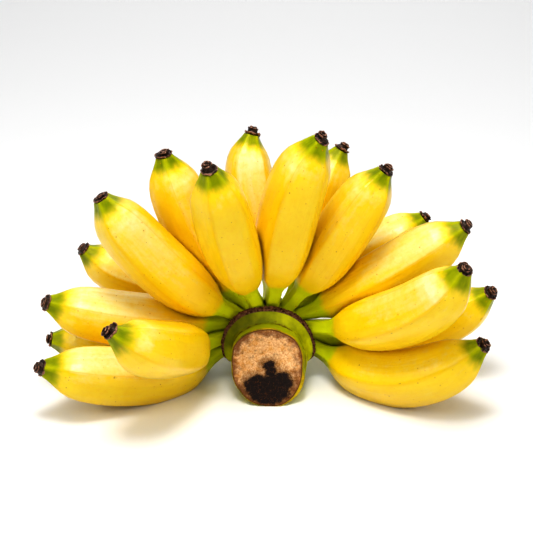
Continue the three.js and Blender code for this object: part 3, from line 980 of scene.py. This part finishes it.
# %% Stalk: rot, and the shader's inputs
ROT_BLACK, ROT_GREY, ROT_CRACK, ROT_HALO = "#14100F", "#362C2A", "#8A5220", "#6B4420"
rot_at = stored(tree, "rot")
rot_edge = calc(tree, "MULTIPLY_ADD", fibres, 4.0, rot_at)
halo = remap(tree, rot_edge, (6.4, 1.8), (0, 0.85))
haloed = mix(tree, halo, browned, ROT_HALO)
black = remap(tree, rot_edge, (2.6, 1.2))
cracks = calc(tree, "ABSOLUTE", calc(tree, "SUBTRACT", warmth, 0.5))
cracked = remap(tree, cracks, (0.006, 0.002), (0, 0.6))
char = mix(tree, fibres, ROT_BLACK, ROT_GREY)
char = mix(tree, cracked, char, ROT_CRACK)
rotten = mix(tree, black, haloed, char)
edge_wander = calc(tree, "MULTIPLY_ADD", bruise, 1.4, under_skin_at)
brown_edge = remap(tree, edge_wander, (2.1, 1.5), (0, 0.9))
rimmed = mix(tree, brown_edge, rotten, RIND_BROWN)
pith_mask = remap(tree, under_skin_at, (0.45, 0.8))
pith_mask = calc(tree, "MULTIPLY", pith_mask, on_cut)
sawn = mix(tree, pith_mask, rinded, rimmed)
drive(stem_shader, "Base Color", sawn)
dry = calc(tree, "MAXIMUM", pith_mask, cork_mask)
matt = remap(tree, dry, (0, 1), (0.42, 0.85))
drive(stem_shader, "Roughness", matt)
tooth = remap(tree, dry, (0, 1), (0.15, 0.8))
relief = add_node(tree, "Bump", {"Height": fibres, "Strength": tooth, "Distance": 0.0006})
drive(stem_shader, "Normal", relief)
print("stalk nodes:", len(tree.nodes))

# %% Give every piece its finish and its place in the frame
for name, finger in fingers.items():
    finger.data.materials.append(peel)
    flower_ends[name].data.materials.append(dried)
    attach(finger, "root")
    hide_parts(f"banana_{name}")
    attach(flower_ends[name], "root")
    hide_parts(f"flower_end_{name}")
stalk.data.materials.append(stem)
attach(stalk, "root")
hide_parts("crown_and_stalk")
for piece in [stalk, *fingers.values(), *flower_ends.values()]:
    select_only(piece)
    bpy.ops.object.shade_smooth()
for spare in (straight, flower_end):
    bpy.data.objects.remove(spare)
print("finished pieces:", 1 + len(fingers) + len(flower_ends))

# %% [markdown]
# ## Floor and light
#
# A plain white floor, as in a studio. The small softbox above and the one on each side give the peel its
# soft highlights, the large one behind lights the background, and a weak one in front with the wide, dim
# sun fills the hollows. The high-contrast look keeps the yellow rich between white and near black.

# %% Lay the floor and set the lights
FLOOR_SIZE = 8  # metres
FLOOR_GAP = 0.05 * MM  # keeps the floor clear of what rests on it
PAPER_WHITE = (0.93, 0.93, 0.93, 1)
WORLD_STRENGTH = 0.15
LIGHTS_AIM = Vector((0, 0, 0.06))
LIGHTS = {  # place in metres, size in metres, power in watts
    "softbox_above": ((-0.05, -0.2, 0.9), 0.3, 3.9),
    "softbox_left": ((-0.9, -0.4, 0.6), 0.25, 1.45),
    "softbox_right": ((0.9, -0.4, 0.6), 0.25, 1.45),
    "softbox_behind": ((0.05, 1.3, 1.2), 1.2, 6.0),
    "fill_front": ((0.25, -1.1, 0.75), 0.7, 1.0),
}
bpy.ops.object.select_all(action="DESELECT")
bpy.ops.mesh.primitive_plane_add(size=FLOOR_SIZE, location=(0, 0, -FLOOR_GAP))
floor = bpy.context.object
floor.name = "floor"
paper, _, paper_shader = new_material("white_paper", Roughness=0.9, Specular_IOR_Level=0.1)
paper_shader.inputs["Base Color"].default_value = PAPER_WHITE
floor.data.materials.append(paper)
floor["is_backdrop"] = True

world = bpy.data.worlds.new("white_studio")
world.use_nodes = True
background = world.node_tree.nodes["Background"]
background.inputs["Color"].default_value = (1, 1, 1, 1)
background.inputs["Strength"].default_value = WORLD_STRENGTH
bpy.context.scene.world = world
bpy.ops.object.light_add(type="SUN", rotation=(math.radians(22), math.radians(-8), 0))
sky = bpy.context.object
sky.name, sky.data.energy, sky.data.angle = "soft_ceiling", 0.5, math.radians(60)
for name, (location, size, power) in LIGHTS.items():
    turn = (LIGHTS_AIM - Vector(location)).to_track_quat("-Z", "Y").to_euler()
    bpy.ops.object.light_add(type="AREA", location=location, rotation=turn)
    lamp = bpy.context.object
    lamp.name, lamp.data.size, lamp.data.energy = name, size, power
bpy.context.scene.view_settings.view_transform = "Standard"
bpy.context.scene.view_settings.look = "High Contrast"
print("lights:", list(LIGHTS))

# %% Compare the boxes and finish
sizes = {"cad": [list(cad_low), list(cad_high)], "visual": [list(corner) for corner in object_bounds()]}
for name, (low, high) in sizes.items():
    print(name, "box, mm:", [round((b - a) / MM, 1) for a, b in zip(low, high)])
